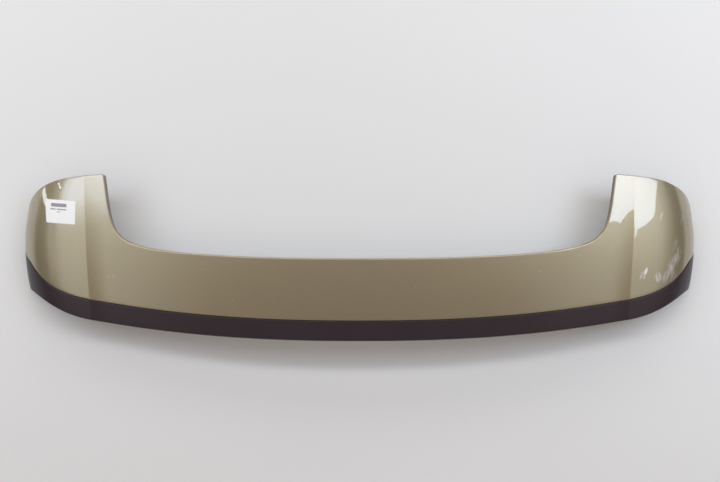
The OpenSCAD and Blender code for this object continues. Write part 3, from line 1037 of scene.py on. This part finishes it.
def label_material():
    """White paper with a faint fibre."""
    material, tree, shader = new_material("label_paper")
    fibre = noise(tree, place_of(tree), 900.0, 3.0)
    fill(tree, shader, {
        "Base Color": blend(tree, fibre, (0.90, 0.915, 0.88, 1), (0.935, 0.95, 0.915, 1)),
        "Roughness": 0.6,
        "Normal": bump(tree, fibre, 0.15, 0.0002),
    })
    return material


def print_material():
    """Grey thermal print of the label's plain bars."""
    material, tree, shader = new_material("label_print")
    fade = noise(tree, place_of(tree), 700.0, 2.0)
    tone = blend(tree, fade, (0.20, 0.20, 0.21, 1), (0.42, 0.42, 0.43, 1))
    fill(tree, shader, {"Base Color": tone, "Roughness": 0.6})
    return material


def label_place(right, down):
    """Place on the skin at shares of the label's width and height from its top left corner."""
    top = mix(LABEL[0], LABEL[1], right)
    bottom = mix(LABEL[3], LABEL[2], right)
    return mix(top, bottom, down)


def label_sheet(left, top, right, bottom, lift, thickness, steps, lines):
    """Points and faces of a thin closed sheet over a rectangle of the label."""
    shares = [(j / steps, i / lines) for i in range(lines + 1) for j in range(steps + 1)]
    places = np.array([label_place(mix(left, right, u), mix(top, bottom, v)) for u, v in shares])
    upper = below(places, np.full(len(places), -(lift + thickness)))
    lower = below(places, np.full(len(places), -lift))
    width = steps + 1
    size = len(places)
    faces = []
    for i in range(lines):
        for j in range(steps):
            a = i * width + j
            faces.append((a, a + width, a + width + 1, a + 1))
            faces.append((size + a, size + a + 1, size + a + width + 1, size + a + width))
    rim = list(range(width))
    rim += [i * width + steps for i in range(1, lines + 1)]
    rim += [lines * width + j for j in range(steps - 1, -1, -1)]
    rim += [i * width for i in range(lines - 1, 0, -1)]
    for a, b in zip(rim, rim[1:] + rim[:1]):
        faces.append((a, b, size + b, size + a))
    return np.concatenate([upper, lower]), faces


sheet = label_sheet(0, 0, 1, 1, LABEL_LIFT, LABEL_THICKNESS, LABEL_STEPS, LABEL_STEPS)
bars = [label_sheet(*b, LABEL_LIFT + LABEL_THICKNESS, BAR_THICKNESS, *BAR_STEPS) for b in BARS]
label = new_object("stock_label", *joined([sheet] + bars), None, [label_material(), print_material()])
for polygon in label.data.polygons[len(sheet[1]):]:
    polygon.material_index = 1

# Floor that fades out into the pale world beyond its middle
FLOOR_SIZE = 8.0
FLOOR_SOLID = 1.5
FLOOR_END = 3.6
FLOOR_DROP = 0.0003


def floor_material():
    """Pale matt studio floor, see-through towards its rim."""
    material, tree, shader = new_material("studio_floor")
    place = place_of(tree)
    cloud = noise(tree, place, 1.5, 2.0)
    fill(tree, shader, {
        "Base Color": blend(tree, cloud, (0.775, 0.79, 0.755, 1), (0.805, 0.82, 0.785, 1)),
        "Roughness": 0.75,
        "Specular IOR Level": 0.2,
        "Alpha": ramp(tree, length_of(tree, place), FLOOR_END, FLOOR_SOLID),
    })
    return material


bpy.ops.mesh.primitive_plane_add(size=FLOOR_SIZE)
floor = bpy.context.object
floor.name = "studio_floor"
floor.location.z = cad_box[0].z - FLOOR_DROP
floor.data.materials.append(floor_material())

# Lights: panels that the clear coat mirrors, dark cards and a pale world, in metres
MOTTLE_SCALE = 2.2
MOTTLE_STRETCH = (0.5, 1.2, 1)
MOTTLE_TURN = 40
CARD_Y = (-4.2, 2.45)
CARD_Z = (0.0, 1.75)
CARD_DARK = (0.32, 1.2)
CARD_RIM = 0.42
CARD_CORE = 0.03
CARD_COLOUR = (1.0, 0.85, 0.82, 1)


def stage_sheet(name, corners):
    """A flat sheet, unseen by the camera, with its empty node tree."""
    mesh = bpy.data.meshes.new(name)
    mesh.from_pydata([list(c) for c in corners], [], [tuple(range(len(corners)))])
    material = bpy.data.materials.new(name)
    material.use_nodes = True
    material.node_tree.nodes.clear()
    mesh.materials.append(material)
    obj = bpy.data.objects.new(name, mesh)
    bpy.context.scene.collection.objects.link(obj)
    obj.visible_camera = False
    return obj, material.node_tree


def panel(name, corners, strength, colour=(1, 1, 1), fade=None, mottle=0.0):
    """A glowing see-through panel. Its glow fades within the distances fade, along X and Y, of its
    rim, and mottle is the share that varies from place to place."""
    _, tree = stage_sheet(name, corners)
    level = strength
    if fade:
        place = place_of(tree)
        streaks = noise(tree, place, MOTTLE_SCALE, 3.0, MOTTLE_STRETCH, MOTTLE_TURN)
        varied = maths(tree, "ADD", times(tree, ramp(tree, streaks, 0.35, 0.65), mottle), 1 - mottle)
        level = times(tree, varied, strength)
        low, high = np.min(corners, axis=0), np.max(corners, axis=0)
        for axis, a, b, soft in zip("XY", low, high, fade):
            value = part_of(tree, place, axis)
            rise = ramp(tree, value, float(a), float(a) + soft)
            drop = ramp(tree, value, float(b), float(b) - soft)
            level = times(tree, times(tree, rise, drop), level)
    glow = add(tree, "ShaderNodeEmission", {"Color": (*colour, 1), "Strength": level})
    clear = add(tree, "ShaderNodeBsdfTransparent")
    both = add(tree, "ShaderNodeAddShader", {0: glow.outputs[0], 1: clear.outputs[0]})
    add(tree, "ShaderNodeOutputMaterial", {"Surface": both.outputs[0]})


def level_panel(name, x_from, x_to, y_from, y_to, z, strength, colour, fade, mottle):
    """A level rectangular panel."""
    corners = [(x_from, y_from, z), (x_to, y_from, z), (x_to, y_to, z), (x_from, y_to, z)]
    panel(name, corners, strength, colour, fade, mottle)


def dark_card(name, x):
    """An upright dark card beside the spoiler that only mirror rays see, so that the flanks turn
    darker towards their limb. It fades out at its foot and at its top."""
    low, high = CARD_Z
    rear, front = CARD_Y
    corners = [(x, rear, low), (x, front, low), (x, front, high), (x, rear, high)]
    obj, tree = stage_sheet(name, corners)
    z = part_of(tree, place_of(tree), "Z")
    dark = times(tree, ramp(tree, z, low, CARD_DARK[0]), ramp(tree, z, high, CARD_DARK[1]))
    level = between(tree, dark, CARD_RIM, CARD_CORE)
    glow = add(tree, "ShaderNodeEmission", {"Color": CARD_COLOUR, "Strength": level})
    add(tree, "ShaderNodeOutputMaterial", {"Surface": glow.outputs[0]})
    obj.visible_diffuse = False
    obj.visible_shadow = False


DAYLIGHT = (0.69, 0.79, 1.0)
OVERCAST = (0.93, 1.0, 0.96)
# The right softbox has slanted edges where its mirror image ends on the right arm
PANEL_Z = 1.8
BOX_RIM = [(0.97, 0.40), (1.083, 0.313), (1.162, 0.268), (1.236, 0.199), (1.322, 0.128), (1.48, 0.135),
           (1.57, 0.13), (1.60, 0.0), (1.634, 0.0), (1.652, 0.101), (1.715, 0.136), (1.852, 0.208),
           (2.038, 0.293), (2.152, 0.415), (2.288, 0.576), (2.503, 0.744), (2.879, 1.009), (2.9, 1.15),
           (0.97, 1.15)]
panel("right_softbox", [(x, y, PANEL_Z) for x, y in BOX_RIM], 5.15, DAYLIGHT)
level_panel("left_softbox", -2.95, -0.65, 0.06, 1.5, PANEL_Z, 4.75, DAYLIGHT, (0.95, 0.56), 0.25)
level_panel("right_side_panel", 0.75, 3.2, -1.6, 1.0, 1.9, 0.65, OVERCAST, (0.9, 0.9), 0.1)
level_panel("left_side_panel", -3.2, -0.75, -1.6, 1.0, 1.9, 0.9, OVERCAST, (1.1, 0.9), 0.1)
panel("front_panel", [(-5, 3.4, 1.2), (5, 3.4, 1.2), (5, 3.4, 2.8), (-5, 3.4, 2.8)], 1.3)
panel("front_strip_light", [(-1.8, 1.5, 3), (1.8, 1.5, 3), (1.8, 1.95, 3), (-1.8, 1.95, 3)], 7.0)
# Lamps far out on the left that leave thin streaks on the left flank
panel("left_slot_lamp", [(-3, 0.92, 0.02), (-3, 0.79, 0.02), (-3, 0.57, 0.95), (-3, 0.70, 0.95)], 5.0)
panel("left_small_lamp", [(-3, 0.988, 1.54), (-3, 1.003, 1.63), (-3, 0.925, 2.06), (-3, 0.91, 1.88)],
      7.0)
panel("left_rail_lamp", [(-3, 0.5, 1.38), (-3, 0.5, 1.78), (-3, -0.6, 2.1), (-3, -0.6, 1.6)], 0.35,
      (1, 0.9, 1))
dark_card("right_dark_card", 3.1)
dark_card("left_dark_card", -3.1)

# A warm pale world, dimmer overhead than at the horizon
WORLD_LOW = 0.66
WORLD_HIGH = 0.30
COLOUR_LOW = (1.0, 0.95, 0.92, 1)
COLOUR_HIGH = (1.0, 0.78, 0.74, 1)
WORLD_TURN = (0.12, 0.45)
world = bpy.data.worlds.new("studio_world")
bpy.context.scene.world = world
world.use_nodes = True
sky = world.node_tree
heading = add(sky, "ShaderNodeTexCoord").outputs["Generated"]
up = ramp(sky, part_of(sky, heading, "Z"), *WORLD_TURN)
fill(sky, sky.nodes["Background"], {
    "Color": blend(sky, up, COLOUR_LOW, COLOUR_HIGH),
    "Strength": between(sky, up, WORLD_LOW, WORLD_HIGH),
})

# Camera above the skin, a little behind it, as the photograph was taken
CAMERA_ELEVATION = math.radians(88)
CAMERA_DISTANCE = 1.64
CAMERA_TARGET = Vector((0.00066, 0.0261, 0.117))
camera_data = bpy.data.cameras.new("camera")
camera_data.sensor_width = 36
camera_data.lens = 50
camera = bpy.data.objects.new("camera", camera_data)
bpy.context.scene.collection.objects.link(camera)
back = Vector((0, -math.cos(CAMERA_ELEVATION), math.sin(CAMERA_ELEVATION)))
camera.location = CAMERA_TARGET + back * CAMERA_DISTANCE
camera.rotation_euler = (math.pi / 2 - CAMERA_ELEVATION, 0, 0)
bpy.context.scene.camera = camera
bpy.context.scene.view_settings.view_transform = "Standard"
